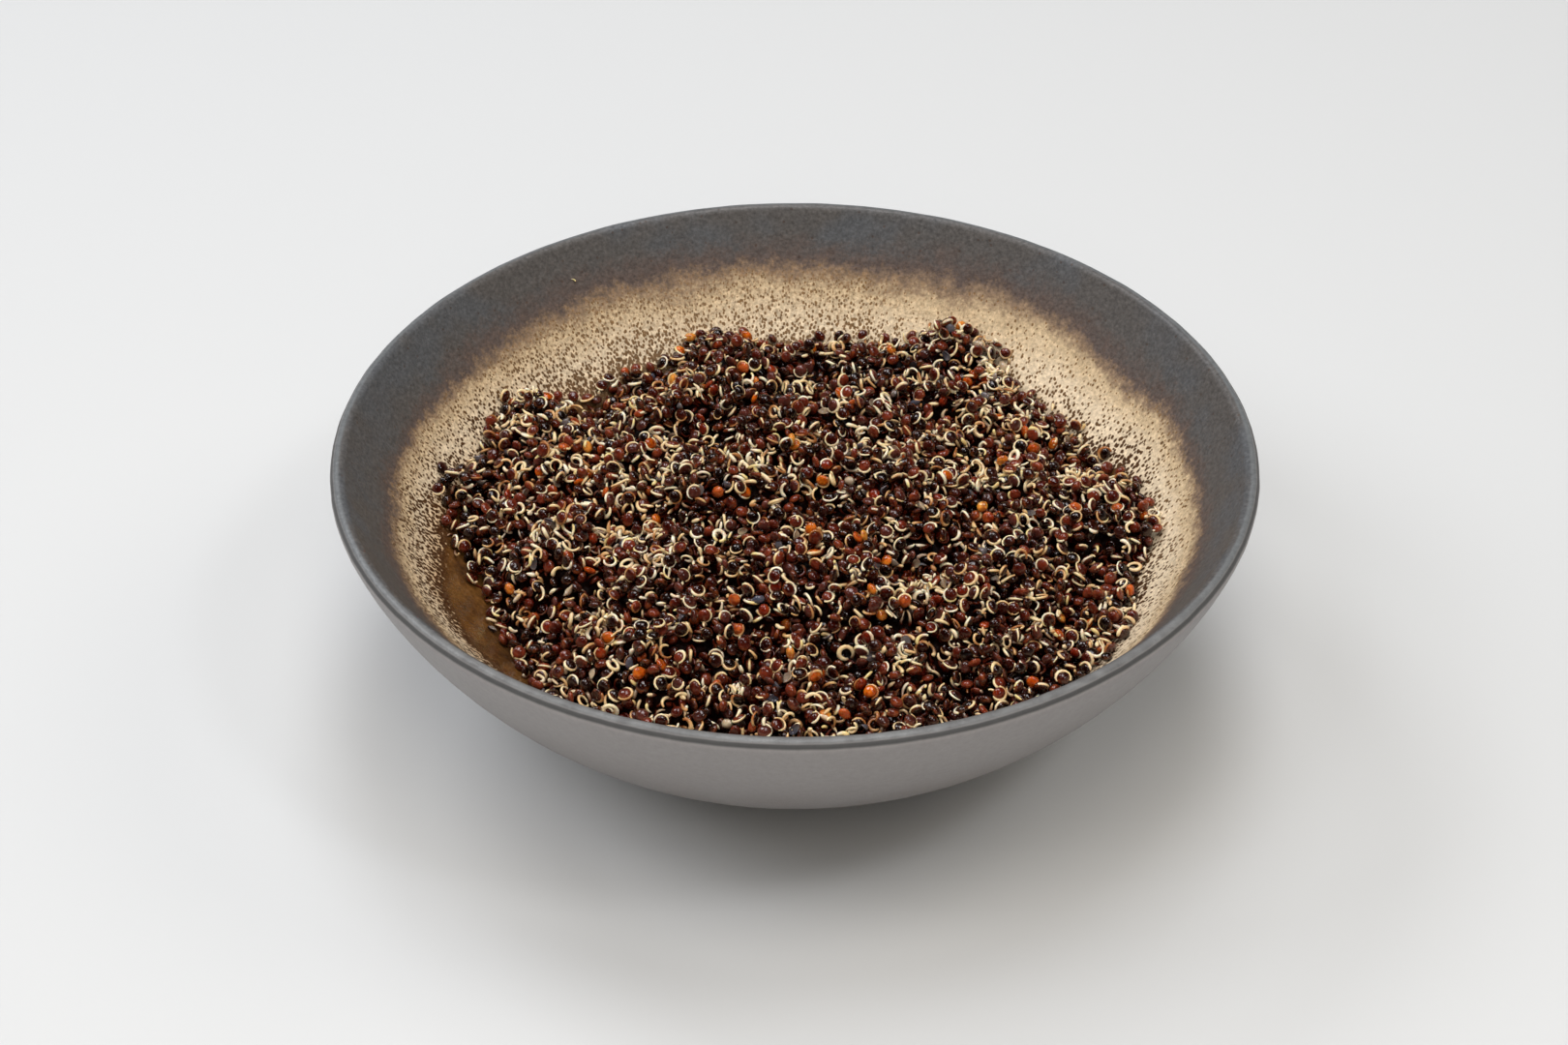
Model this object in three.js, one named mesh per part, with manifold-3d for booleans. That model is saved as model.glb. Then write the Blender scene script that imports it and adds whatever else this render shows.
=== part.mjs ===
// A stoneware bowl of cooked quinoa, in millimetres, +Z up.
// The origin is the middle of the foot's bottom, where the bowl stands.
// The bowl is turned from one profile. The quinoa is a heap that fills the bowl's lower half:
// its underside follows the wall, and its top is uneven, with a bump for each grain.

import * as THREE from "three";
import { mergeVertices } from "three/addons/utils/BufferGeometryUtils.js";
import Module from "manifold-3d";

const wasm = await Module();
wasm.setup();

// The bowl. Angles are in degrees: a wall's is its slope from level where it meets the lip,
// and the lip's points go round it from the outside, at 0, over the top, at 90, to the inside.
const RIM_RADIUS = 80;
const HEIGHT = 52;
const LIP_RADIUS = 1.5;
const LIP_ANGLES = [0, 30, 60, 90, 120];
const OUTER_RIM_ANGLE = 72;
const INNER_RIM_ANGLE = 58;
const FLOOR_HEIGHT = 8.5;
const FOOT_RADIUS = 30;
const FOOT_HEIGHT = 4.5;
const FOOT_WIDTH = 5;
const FOOT_TAPER = 1.2;
const FOOT_EDGE = 0.7;
const FOOT_RECESS = 2.6;

// How far each wall's curve keeps the direction of its ends.
const OUTER_RIM_REACH = 12.7;
const OUTER_FOOT_REACH = 30.4;
const OUTER_FOOT_ANGLE = 13.2;
const INNER_RIM_REACH = 17;
const INNER_FLOOR_REACH = 50;

// The heap: its gap to the wall, its level at the wall, how much the middle rises,
// and the clumps and dips at its edge.
const HEAP_GAP = 0.35;
const HEAP_RADIUS = 62;
const HEAP_EDGE = 31;
const HEAP_RISE = 8;
const EDGE_CLUMPS = [
  { x: -51, y: -29, radius: 17, height: -9 },
  { x: -60, y: -6, radius: 10, height: -3 },
  { x: -61, y: 11, radius: 8, height: 5 },
  { x: -51, y: 35, radius: 9, height: 4.5 },
  { x: -40, y: 43, radius: 5, height: -3 },
  { x: -15, y: 57, radius: 7, height: 4.5 },
  { x: -2, y: 62, radius: 5, height: -1.7 },
  { x: 31, y: 55, radius: 7, height: 9 },
  { x: 54, y: 29, radius: 9, height: -1 },
  { x: 57, y: 18, radius: 6, height: -1.5 },
  { x: 61, y: 3, radius: 8, height: 2 },
  { x: 53, y: -33, radius: 9, height: 2 },
];

// Smaller clumps and dips all over the heap.
const SMALL_CLUMPS = 90;
const SMALL_CLUMP_RADIUS = [3.5, 7.5];
const SMALL_CLUMP_HEIGHT = [-2.2, 2.2];
const SMALL_CLUMP_SEED = 11;

// The grains: how far apart they are, how high one stands over the gaps round it,
// and how far it lies out of line.
const GRAIN_PITCH = 3.1;
const GRAIN_HEIGHT = [0.5, 1.7];
const GRAIN_SHIFT = [-0.35, 0.35];
const GRAIN_SEED = 5;

// The mesh: sides round the axis, steps along each wall, the half width of the block
// that the heap is cut from, and the distance under which points are one.
const BOWL_SIDES = 64;
const HEAP_SIDES = 64;
const OUTER_WALL_STEPS = 7;
const INNER_WALL_STEPS = 9;
const HEAP_WALL_STEPS = 8;
const BLOCK_REACH = 72;
const MERGE_DISTANCE = 1e-4;

const bowlMaterial = new THREE.MeshStandardMaterial({
  color: 0x5a5654,
  roughness: 0.62,
  metalness: 0,
});
const quinoaMaterial = new THREE.MeshStandardMaterial({
  color: 0x3c1c14,
  roughness: 0.4,
  metalness: 0,
});

// Numbers from 0 to 1 that are the same on every run.
function randomFrom(seed) {
  let state = seed;
  return () => {
    state = (Math.imul(state, 1664525) + 1013904223) >>> 0;
    return state / 2 ** 32;
  };
}

function mix([low, high], share) {
  return low + (high - low) * share;
}

// The point at a distance from another, in a direction in degrees.
function offset(point, distance, degrees) {
  const angle = THREE.MathUtils.degToRad(degrees);
  return new THREE.Vector2(
    point.x + distance * Math.cos(angle),
    point.y + distance * Math.sin(angle),
  );
}

// A profile of radius and height, turned about the Z axis.
function turned(profile, sides) {
  return new THREE.LatheGeometry(profile, sides).rotateX(Math.PI / 2);
}

const lipCentre = new THREE.Vector2(
  RIM_RADIUS - LIP_RADIUS,
  HEIGHT - LIP_RADIUS,
);

function foot() {
  const inner = FOOT_RADIUS - FOOT_WIDTH;
  const outer = FOOT_RADIUS - FOOT_TAPER;
  return [
    new THREE.Vector2(0, FOOT_RECESS),
    new THREE.Vector2(inner - FOOT_EDGE, FOOT_RECESS),
    new THREE.Vector2(inner, FOOT_RECESS - FOOT_EDGE),
    new THREE.Vector2(inner + FOOT_EDGE, 0),
    new THREE.Vector2(outer - FOOT_EDGE, 0),
    new THREE.Vector2(outer, FOOT_EDGE),
  ];
}

function outerWall() {
  const bottom = new THREE.Vector2(FOOT_RADIUS, FOOT_HEIGHT);
  const top = offset(lipCentre, LIP_RADIUS, OUTER_RIM_ANGLE - 90);
  return new THREE.CubicBezierCurve(
    bottom,
    offset(bottom, OUTER_FOOT_REACH, OUTER_FOOT_ANGLE),
    offset(top, OUTER_RIM_REACH, OUTER_RIM_ANGLE - 180),
    top,
  );
}

function innerWall() {
  const top = offset(lipCentre, LIP_RADIUS, INNER_RIM_ANGLE + 90);
  return new THREE.CubicBezierCurve(
    top,
    offset(top, INNER_RIM_REACH, INNER_RIM_ANGLE - 180),
    new THREE.Vector2(INNER_FLOOR_REACH, FLOOR_HEIGHT),
    new THREE.Vector2(0, FLOOR_HEIGHT),
  );
}

function bowl() {
  const lip = LIP_ANGLES.map((angle) => offset(lipCentre, LIP_RADIUS, angle));
  const profile = [
    ...foot(),
    ...outerWall().getPoints(OUTER_WALL_STEPS),
    ...lip,
    ...innerWall().getPoints(INNER_WALL_STEPS),
  ];
  return turned(profile, BOWL_SIDES);
}

// The space inside the bowl, down to a gap over its inner wall.
function room() {
  const wall = innerWall();
  const shares = Array.from(
    { length: HEAP_WALL_STEPS + 1 },
    (_, i) => 1 - i / HEAP_WALL_STEPS,
  );
  const floor = shares.map((share) => {
    const point = wall.getPoint(share);
    const along = wall.getTangent(share);
    return new THREE.Vector2(
      point.x + along.y * HEAP_GAP,
      point.y - along.x * HEAP_GAP,
    );
  });
  const top = new THREE.Vector2(0, floor.at(-1).y);
  return turned([...floor, top], HEAP_SIDES);
}

// The smaller clumps, spread evenly over the heap by the golden angle.
function smallClumps() {
  const random = randomFrom(SMALL_CLUMP_SEED);
  const turn = Math.PI * (3 - Math.sqrt(5));
  return Array.from({ length: SMALL_CLUMPS }, (_, i) => {
    const reach = HEAP_RADIUS * Math.sqrt((i + random()) / SMALL_CLUMPS);
    return {
      x: reach * Math.cos(i * turn),
      y: reach * Math.sin(i * turn),
      radius: mix(SMALL_CLUMP_RADIUS, random()),
      height: mix(SMALL_CLUMP_HEIGHT, random()),
    };
  });
}

const clumps = [...EDGE_CLUMPS, ...smallClumps()];

// The height of the heap's top without its grains.
function heapTop(x, y) {
  const dome = 1 - (x * x + y * y) / HEAP_RADIUS ** 2;
  return clumps.reduce((height, clump) => {
    const away = Math.hypot(x - clump.x, y - clump.y) / clump.radius;
    return height + clump.height * Math.exp(-away * away);
  }, HEAP_EDGE + HEAP_RISE * dome);
}

// A block whose top is the heap's top. Its points form a grid of even triangles,
// in which one point in three is a grain's peak and the others are the gaps between grains.
function grainBlock() {
  const random = randomFrom(GRAIN_SEED);
  const step = GRAIN_PITCH / Math.sqrt(3);
  const rowStep = (step * Math.sqrt(3)) / 2;
  const rows = 2 * Math.ceil(BLOCK_REACH / rowStep);
  const columns = 2 * Math.ceil(BLOCK_REACH / step);
  const positions = [];
  for (const isTop of [true, false]) {
    for (let row = 0; row < rows; row++) {
      for (let column = 0; column < columns; column++) {
        const x = (column + (row % 2) / 2 - columns / 2) * step;
        const y = (row - rows / 2) * rowStep;
        const isPeak = (column - Math.floor(row / 2) - row) % 3 === 0;
        const rise = isPeak ? mix(GRAIN_HEIGHT, random()) : 0;
        const height = heapTop(x, y) - GRAIN_HEIGHT[0] + rise;
        positions.push(
          x + mix(GRAIN_SHIFT, random()),
          y + mix(GRAIN_SHIFT, random()),
          isTop ? height : 0,
        );
      }
    }
  }
  return { positions, index: blockFaces(rows, columns) };
}

// The block's faces: its top and bottom, then its four sides.
function blockFaces(rows, columns) {
  const index = [];
  const at = (layer, row, column) => (layer * rows + row) * columns + column;
  const quad = (a, b, c, d) => index.push(a, b, c, a, c, d);
  const side = (layer, from, to) =>
    quad(
      at(layer, ...from),
      at(layer, ...to),
      at(1 - layer, ...to),
      at(1 - layer, ...from),
    );
  for (let row = 0; row < rows - 1; row++) {
    for (let column = 0; column < columns - 1; column++) {
      for (const layer of [0, 1]) {
        const a = at(layer, row, column);
        const b = at(layer, row, column + 1);
        const c = at(layer, row + 1, column + 1);
        const d = at(layer, row + 1, column);
        const faces = row % 2 ? [a, b, c, a, c, d] : [a, b, d, b, c, d];
        index.push(...(layer ? faces.reverse() : faces));
      }
    }
  }
  for (let column = 0; column < columns - 1; column++) {
    side(1, [0, column], [0, column + 1]);
    side(0, [rows - 1, column], [rows - 1, column + 1]);
  }
  for (let row = 0; row < rows - 1; row++) {
    side(0, [row, 0], [row + 1, 0]);
    side(1, [row, columns - 1], [row + 1, columns - 1]);
  }
  return index;
}

function solid(geometry) {
  for (const name of ["normal", "uv"]) geometry.deleteAttribute(name);
  const merged = mergeVertices(geometry, MERGE_DISTANCE);
  return new wasm.Manifold(
    new wasm.Mesh({
      numProp: 3,
      vertProperties: new Float32Array(merged.attributes.position.array),
      triVerts: new Uint32Array(merged.index.array),
    }),
  );
}

function geometryOf(manifold) {
  const mesh = manifold.getMesh();
  const geometry = new THREE.BufferGeometry();
  const positions = new THREE.BufferAttribute(mesh.vertProperties, 3);
  geometry.setAttribute("position", positions);
  geometry.setIndex(new THREE.BufferAttribute(mesh.triVerts, 1));
  geometry.computeVertexNormals();
  return geometry;
}

function heap() {
  const { positions, index } = grainBlock();
  const block = new THREE.BufferGeometry();
  block.setAttribute(
    "position",
    new THREE.Float32BufferAttribute(positions, 3),
  );
  block.setIndex(index);
  return geometryOf(solid(block).intersect(solid(room())));
}

function part(name, geometry, material) {
  const mesh = new THREE.Mesh(geometry, material);
  mesh.name = name;
  return mesh;
}

const bowlOfQuinoa = new THREE.Group();
bowlOfQuinoa.add(part("bowl", bowl(), bowlMaterial));
bowlOfQuinoa.add(part("quinoa", heap(), quinoaMaterial));

export default bowlOfQuinoa;
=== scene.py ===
"""A stoneware bowl of cooked dark quinoa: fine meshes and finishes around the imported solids.

The bowl is turned again with a smooth wall. The quinoa node gives the heap its form. Seeds, germs and
husks settle on a dark core one after another, each where it comes to lie lowest of a few tries, until
they reach the node's surface. Lengths are in metres, z is up, and the foot stands at z = 0.
"""

import math

import bmesh
import bpy
import numpy as np
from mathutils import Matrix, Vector
from mathutils.bvhtree import BVHTree


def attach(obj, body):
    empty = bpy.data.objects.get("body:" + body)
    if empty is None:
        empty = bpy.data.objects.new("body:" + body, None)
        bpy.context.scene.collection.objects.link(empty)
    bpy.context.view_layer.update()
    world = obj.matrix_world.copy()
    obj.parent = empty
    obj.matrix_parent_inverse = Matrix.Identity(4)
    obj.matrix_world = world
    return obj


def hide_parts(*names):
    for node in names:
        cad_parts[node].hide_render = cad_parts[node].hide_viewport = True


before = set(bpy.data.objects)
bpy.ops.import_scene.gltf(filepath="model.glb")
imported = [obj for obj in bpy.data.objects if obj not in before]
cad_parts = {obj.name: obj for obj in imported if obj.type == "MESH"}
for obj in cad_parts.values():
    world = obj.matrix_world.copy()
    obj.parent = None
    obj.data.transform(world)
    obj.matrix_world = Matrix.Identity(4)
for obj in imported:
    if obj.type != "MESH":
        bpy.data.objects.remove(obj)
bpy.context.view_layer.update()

MM = 0.001
BODY = "root"

# The bowl's outline, as radius and height.
RIM_RADIUS = 80 * MM
HEIGHT = 52 * MM
LIP_RADIUS = 1.5 * MM
LIP_CENTRE = (RIM_RADIUS - LIP_RADIUS, HEIGHT - LIP_RADIUS)
LIP_OUTER_ANGLE = -18
LIP_INNER_ANGLE = 148
FLOOR_HEIGHT = 8.5 * MM
FLOOR_HANDLE = 50 * MM
FOOT_RADIUS = 30 * MM
FOOT_HEIGHT = 4.5 * MM
FOOT_RECESS = 2.6 * MM
FOOT_OUTLINE = [(24.3, 2.6), (25, 1.9), (25.7, 0), (28.1, 0), (28.8, 0.7)]
OUTER_FOOT_ANGLE = 13.2
OUTER_FOOT_REACH = 30.4 * MM
OUTER_RIM_REACH = 12.7 * MM
INNER_RIM_REACH = 17 * MM
BOWL_SIDES = 288
RECESS_STEPS = 4
OUTER_STEPS = 40
LIP_STEPS = 20
INNER_STEPS = 64

# Traces of the potter's hands, all inwards or downwards, so that the bowl keeps its size.
RIM_SWAY = 0.14 * MM
RIM_DIP = 0.12 * MM
RIM_SWAY_WAVES = (2, 3, 5)
RIM_SWAY_FROM = 0.4 * HEIGHT
RIM_NICK = 0.12 * MM
RIM_NICK_WAVES = (23, 37, 61, 88)
TURNING_RIDGE = 0.05 * MM
TURNING_RIDGE_PITCH = 2.6 * MM
RIDGE_WAVES = (1, 2)
LIP_TOP_ANGLES = (80, 120)

# Where the glaze inside turns beige, and further down brown.
BEIGE_RADIUS = 70.3 * MM
BROWN_RADIUS = 60.5 * MM
# Where the brown reaches further up: the middle in degrees, how far, and the width in degrees.
BROWN_LOBES = ((-24, 1 * MM, 22), (-163, 3.4 * MM, 26), (60, -1.2 * MM, 40), (17, 2.6 * MM, 7))

# The heap's form is read from the quinoa node on a grid.
GRID_REACH = 68 * MM
GRID_PITCH = 0.25 * MM
CAST_PITCH = 1 * MM
CAST_HEIGHT = 0.1
FORM_BLUR = 1.8 * MM
FORM_LIFT = 0.5 * MM
LEAST_COVER = 0.02

# Where the heap's edge lies higher, given in the same way, and where that starts and is full.
EDGE_LOBES = ((-167, -2.4 * MM, 9), (53, 2.2 * MM, 6), (133, -1.2 * MM, 5),
              (30, -1.2 * MM, 5), (-14, -1.2 * MM, 5), (101, -1.6 * MM, 8))
EDGE_REACH = (48 * MM, 58 * MM)

# Soft clumps, each with a height and a size. They fade out where the heap is thinner than CLUMP_DEPTH.
CLUMPS = ((0.85 * MM, 2.2 * MM), (1.2 * MM, 4.8 * MM))
CLUMP_DEPTH = 8 * MM

# Pits, where lumps of that size rise over PIT_START times their usual height.
PIT_DEPTH = 1.8 * MM
PIT_SIZE = 1.8 * MM
PIT_START = 0.9

# Lumps that loose germs shun and black seeds seek, with their height and size.
TASTE = (0.25 * MM, 4 * MM)

CORE_DEPTH = 3.4 * MM
CORE_RELIEF = 0.45 * MM
CORE_RELIEF_BLUR = 0.7 * MM
CORE_GAP = 0.3 * MM
CORE_SIDES = 220
CORE_TOP_RINGS = 90
CORE_BOTTOM_RINGS = 14

CRUMB_ANGLE = 124.5
CRUMB_RADIUS = 73.6 * MM
CRUMB_CLEARANCE = 0.35 * MM
CRUMB_SCALE = 0.5

GRAIN_SEED = 20
SHAPE_SEED = 4


# ---- meshes

def new_object(name, vertices, faces, material, floats=None):
    """A smooth mesh that rides on the body, with a float attribute for each entry of floats."""
    mesh = bpy.data.meshes.new(name)
    mesh.from_pydata(vertices.tolist(), [], faces)
    add_floats(mesh, floats or {})
    return dress(name, mesh, material)


def add_floats(mesh, floats):
    for name, values in floats.items():
        attribute = mesh.attributes.new(name, "FLOAT", "POINT")
        attribute.data.foreach_set("value", np.asarray(values, np.float32))


def dress(name, mesh, material):
    mesh.polygons.foreach_set("use_smooth", np.ones(len(mesh.polygons), bool))
    mesh.materials.append(material)
    mesh.validate()
    mesh.update()
    piece = bpy.data.objects.new(name, mesh)
    bpy.context.scene.collection.objects.link(piece)
    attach(piece, BODY)
    return piece


def grid_faces(rings, columns):
    """Quads between rings that follow each other, each a closed loop of vertices."""
    ring, column = np.meshgrid(np.arange(rings - 1), np.arange(columns), indexing="ij")
    following = (column + 1) % columns
    corners = [ring * columns + column, ring * columns + following,
               (ring + 1) * columns + following, (ring + 1) * columns + column]
    return np.stack(corners, -1).reshape(-1, 4).tolist()


def fan(tip, first, columns, turned_over=False):
    """Triangles from the tip to the closed ring whose vertices start at first."""
    near = np.arange(first, first + columns)
    far = np.roll(near, -1)
    if turned_over:
        near, far = far, near
    return [(tip, *pair) for pair in zip(near.tolist(), far.tolist())]


def smooth_step(values, low, high):
    t = np.clip((values - low) / (high - low), 0, 1)
    return t * t * (3 - 2 * t)


def lobe(angle, middle, width):
    """A bump of height 1 round the bowl. The middle and the width are in degrees."""
    apart = (np.degrees(angle) - middle + 180) % 360 - 180
    return np.exp(-(apart / width) ** 2)


# ---- bowl

def toward(point, degrees, distance):
    angle = math.radians(degrees)
    return np.array(point) + distance * np.array([math.cos(angle), math.sin(angle)])


def bezier(start, start_handle, end_handle, end, steps):
    t = np.linspace(0, 1, steps + 1)[:, None]
    points = [np.array(point) for point in (start, start_handle, end_handle, end)]
    weights = [(1 - t) ** 3, 3 * (1 - t) ** 2 * t, 3 * (1 - t) * t ** 2, t ** 3]
    return sum(weight * point for weight, point in zip(weights, points))


def rounded(points, share=0.3):
    """The open outline with each corner between its ends cut back to a short curve."""
    result = [points[0]]
    for before, corner, after in zip(points, points[1:], points[2:]):
        start = corner + (before - corner) * share
        end = corner + (after - corner) * share
        result += [start, (start + end + 2 * corner) / 4, end]
    return np.array(result + [points[-1]])


def inner_wall():
    """The outline's inside, from the lip down to the middle of the floor."""
    top = toward(LIP_CENTRE, LIP_INNER_ANGLE, LIP_RADIUS)
    handle = toward(top, LIP_INNER_ANGLE + 90, INNER_RIM_REACH)
    return bezier(top, handle, (FLOOR_HANDLE, FLOOR_HEIGHT), (0, FLOOR_HEIGHT), INNER_STEPS)


def bowl_outline():
    """The outline from the middle of the recess to the middle of the floor, and the angle round the lip."""
    foot_top = np.array([FOOT_RADIUS, FOOT_HEIGHT])
    recess = np.linspace((0, FOOT_RECESS), np.array(FOOT_OUTLINE[0]) * MM, RECESS_STEPS)
    foot = rounded(np.vstack([recess[-2:], np.array(FOOT_OUTLINE[1:]) * MM, [foot_top]]))
    lip_start = toward(LIP_CENTRE, LIP_OUTER_ANGLE, LIP_RADIUS)
    outer = bezier(foot_top, toward(foot_top, OUTER_FOOT_ANGLE, OUTER_FOOT_REACH),
                   toward(lip_start, LIP_OUTER_ANGLE - 90, OUTER_RIM_REACH), lip_start, OUTER_STEPS)
    lip_angles = np.linspace(LIP_OUTER_ANGLE, LIP_INNER_ANGLE, LIP_STEPS + 1)
    lip = np.array([toward(LIP_CENTRE, angle, LIP_RADIUS) for angle in lip_angles])
    inner = inner_wall()
    outline = np.vstack([recess[:-2], foot, outer[1:], lip[1:], inner[1:]])
    count_outside = len(recess) - 2 + len(foot) + OUTER_STEPS
    around = np.full(len(outline), LIP_OUTER_ANGLE)
    around[count_outside:count_outside + LIP_STEPS] = lip_angles[1:]
    around[count_outside + LIP_STEPS:] = LIP_INNER_ANGLE
    return outline, around


def wall_height(radius):
    """The height of the bowl's inner wall at a radius."""
    wall = inner_wall()[::-1]
    return np.interp(radius, wall[:, 0], wall[:, 1])


def waves(angle, counts, random):
    """A sum of waves round the bowl, from 0 to 1."""
    total = sum(np.sin(count * angle + random.uniform(0, 2 * math.pi)) for count in counts)
    return 0.5 + 0.5 * total / len(counts)


def turned_wall(outline, around):
    """The turned outline's radii, heights, and angles round the bowl and round the lip."""
    random = np.random.default_rng(SHAPE_SEED)
    turn = np.arange(BOWL_SIDES) * 2 * math.pi / BOWL_SIDES
    radius, angle = np.meshgrid(outline[:, 0], turn, indexing="ij")
    height = np.meshgrid(outline[:, 1], turn, indexing="ij")[0]
    lip_angle = np.meshgrid(around, turn, indexing="ij")[0]
    near_rim = smooth_step(height, RIM_SWAY_FROM, HEIGHT)
    at_lip = smooth_step(height, HEIGHT - 3 * LIP_RADIUS, HEIGHT - LIP_RADIUS)
    outside = 1 - smooth_step(lip_angle, *LIP_TOP_ANGLES)
    ridge_turn = height * 2 * math.pi / TURNING_RIDGE_PITCH + waves(angle, RIDGE_WAVES, random)
    ridge = 0.5 + 0.5 * np.sin(ridge_turn)
    on_wall = smooth_step(height, FOOT_HEIGHT, 3 * FOOT_HEIGHT) * (1 - at_lip)
    radius -= RIM_SWAY * near_rim * waves(angle, RIM_SWAY_WAVES, random)
    radius -= RIM_NICK * at_lip * outside * waves(angle, RIM_NICK_WAVES, random)
    radius -= TURNING_RIDGE * outside * on_wall * ridge
    height -= RIM_DIP * near_rim * waves(angle, RIM_SWAY_WAVES, random)
    height -= 0.5 * RIM_NICK * at_lip * waves(angle, RIM_NICK_WAVES, random)
    return radius, height, angle, lip_angle


def make_bowl(material):
    """The bowl, with each vertex's angle round the lip and how far it is outside the brown's edge."""
    outline, around = bowl_outline()
    radius, height, angle, lip_angle = turned_wall(outline[1:-1], around[1:-1])
    vertices = np.stack([radius * np.cos(angle), radius * np.sin(angle), height], -1).reshape(-1, 3)
    vertices = np.vstack([vertices, [[0, 0, outline[0, 1]], [0, 0, outline[-1, 1]]]])
    bottom, top = len(vertices) - 2, len(vertices) - 1
    last_ring = bottom - BOWL_SIDES
    faces = grid_faces(len(radius), BOWL_SIDES)
    faces += fan(bottom, 0, BOWL_SIDES, turned_over=True) + fan(top, last_ring, BOWL_SIDES)
    brown_radius = np.full(radius.shape, BROWN_RADIUS)
    for middle, growth, width in BROWN_LOBES:
        brown_radius += growth * lobe(angle, middle, width)
    above_brown = np.append((radius - brown_radius).ravel(), [0, -BROWN_RADIUS])
    lip_angle = np.append(lip_angle.ravel(), [LIP_OUTER_ANGLE, LIP_INNER_ANGLE])
    piece = new_object("stoneware_bowl", vertices, faces, material,
                       {"lip_angle": lip_angle, "above_brown": above_brown})
    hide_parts("bowl")


# ---- heap form

def blur(field, sigma):
    """A Gaussian blur, with sigma in cells."""
    reach = math.ceil(3 * sigma)
    taps = np.exp(-np.arange(-reach, reach + 1) ** 2 / (2 * sigma * sigma))
    taps /= taps.sum()
    for axis in (0, 1):
        padded = np.pad(field, [(reach, reach) if a == axis else (0, 0) for a in (0, 1)])
        size = field.shape[axis]
        field = sum(tap * padded.take(range(i, i + size), axis) for i, tap in enumerate(taps))
    return field


def cast_heap():
    """Heights of the quinoa node's top on a coarse grid, with its grain-sized bumps smoothed out."""
    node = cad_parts["quinoa"]
    tree = BVHTree.FromObject(node, bpy.context.evaluated_depsgraph_get())
    places = np.arange(-GRID_REACH, GRID_REACH + CAST_PITCH / 2, CAST_PITCH)
    heights = np.zeros((len(places), len(places)))
    hit = np.zeros_like(heights)
    for i, x in enumerate(places):
        for j, y in enumerate(places):
            place = tree.ray_cast(Vector((x, y, CAST_HEIGHT)), Vector((0, 0, -1)))[0]
            if place is not None:
                heights[i, j], hit[i, j] = place.z, 1
    sigma = FORM_BLUR / CAST_PITCH
    weight = blur(hit, sigma)
    form = blur(heights, sigma) / np.maximum(weight, 1e-3)
    return places, np.where(weight > LEAST_COVER, form, 0)


class Heap:
    """Grids of heights over the bowl: the surface to reach, the core, and the top of what lies there."""

    def __init__(self, random):
        self.cells = round(2 * GRID_REACH / GRID_PITCH) + 1
        self.places = -GRID_REACH + GRID_PITCH * np.arange(self.cells)
        coarse, form = cast_heap()
        rows = np.array([np.interp(self.places, coarse, line) for line in form])
        self.target = np.array([np.interp(self.places, coarse, line) for line in rows.T]).T + FORM_LIFT
        x, y = np.meshgrid(self.places, self.places, indexing="ij")
        self.wall = wall_height(np.hypot(x, y))
        at_edge = smooth_step(np.hypot(x, y), *EDGE_REACH)
        for middle, growth, width in EDGE_LOBES:
            self.target += at_edge * growth * lobe(np.arctan2(y, x), middle, width)
        away_from_wall = smooth_step(self.target - self.wall, 0, CLUMP_DEPTH)
        for clump in CLUMPS:
            self.target += away_from_wall * self.relief(random, *clump)
        pits = np.clip(self.relief(random, 1, PIT_SIZE) - PIT_START, 0, None)
        self.target -= away_from_wall * PIT_DEPTH * pits
        self.taste = self.relief(random, *TASTE)
        self.core = self.target - CORE_DEPTH + self.relief(random, CORE_RELIEF, CORE_RELIEF_BLUR)
        self.top = np.maximum(self.core, self.wall)

    def relief(self, random, height, size):
        """Soft lumps over the whole grid, of about that height and size."""
        lumps = blur(random.normal(size=(self.cells, self.cells)), size / GRID_PITCH)
        return lumps * height / lumps.std()

    def height(self, field, x, y):
        """The field's height at each place, between the grid's cells."""
        u = (x + GRID_REACH) / GRID_PITCH
        v = (y + GRID_REACH) / GRID_PITCH
        i = np.clip(u.astype(int), 0, self.cells - 2)
        j = np.clip(v.astype(int), 0, self.cells - 2)
        a, b = u - i, v - j
        return ((1 - a) * (1 - b) * field[i, j] + a * (1 - b) * field[i + 1, j]
                + (1 - a) * b * field[i, j + 1] + a * b * field[i + 1, j + 1])


def make_core(heap, material):
    """A closed solid under the grains, from the bowl's wall up to the core's surface."""
    turn = np.arange(CORE_SIDES) * 2 * math.pi / CORE_SIDES
    reach = np.arange(0.5 * GRID_REACH, GRID_REACH, 0.5 * GRID_PITCH)
    angle, radius = np.meshgrid(turn, reach, indexing="ij")
    surface = heap.height(heap.core, radius * np.cos(angle), radius * np.sin(angle))
    buried = surface <= wall_height(radius) + CORE_GAP
    edge = reach[np.argmax(buried, axis=1)]

    def ring(share, field=None):
        x, y = share * edge * np.cos(turn), share * edge * np.sin(turn)
        floor = wall_height(share * edge) + CORE_GAP
        z = floor if field is None else np.maximum(heap.height(field, x, y), floor)
        return np.stack([x, y, z], -1)

    top_shares = np.arange(1, CORE_TOP_RINGS) / CORE_TOP_RINGS
    bottom_shares = np.arange(CORE_BOTTOM_RINGS - 1, 0, -1) / CORE_BOTTOM_RINGS
    rings = [ring(share, heap.core) for share in top_shares] + [ring(1)]
    rings += [ring(share) for share in bottom_shares]
    top_height = heap.height(heap.core, np.zeros(1), np.zeros(1))[0]
    vertices = np.vstack([*rings, [[0, 0, top_height], [0, 0, FLOOR_HEIGHT + CORE_GAP]]])
    top, bottom = len(vertices) - 2, len(vertices) - 1
    last_ring = top - CORE_SIDES
    faces = [tuple(reversed(face)) for face in grid_faces(len(rings), CORE_SIDES)]
    faces += fan(top, 0, CORE_SIDES) + fan(bottom, last_ring, CORE_SIDES, turned_over=True)
    piece = new_object("quinoa_core", vertices, faces, material)
    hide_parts("quinoa")


# ---- grain shapes

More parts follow.
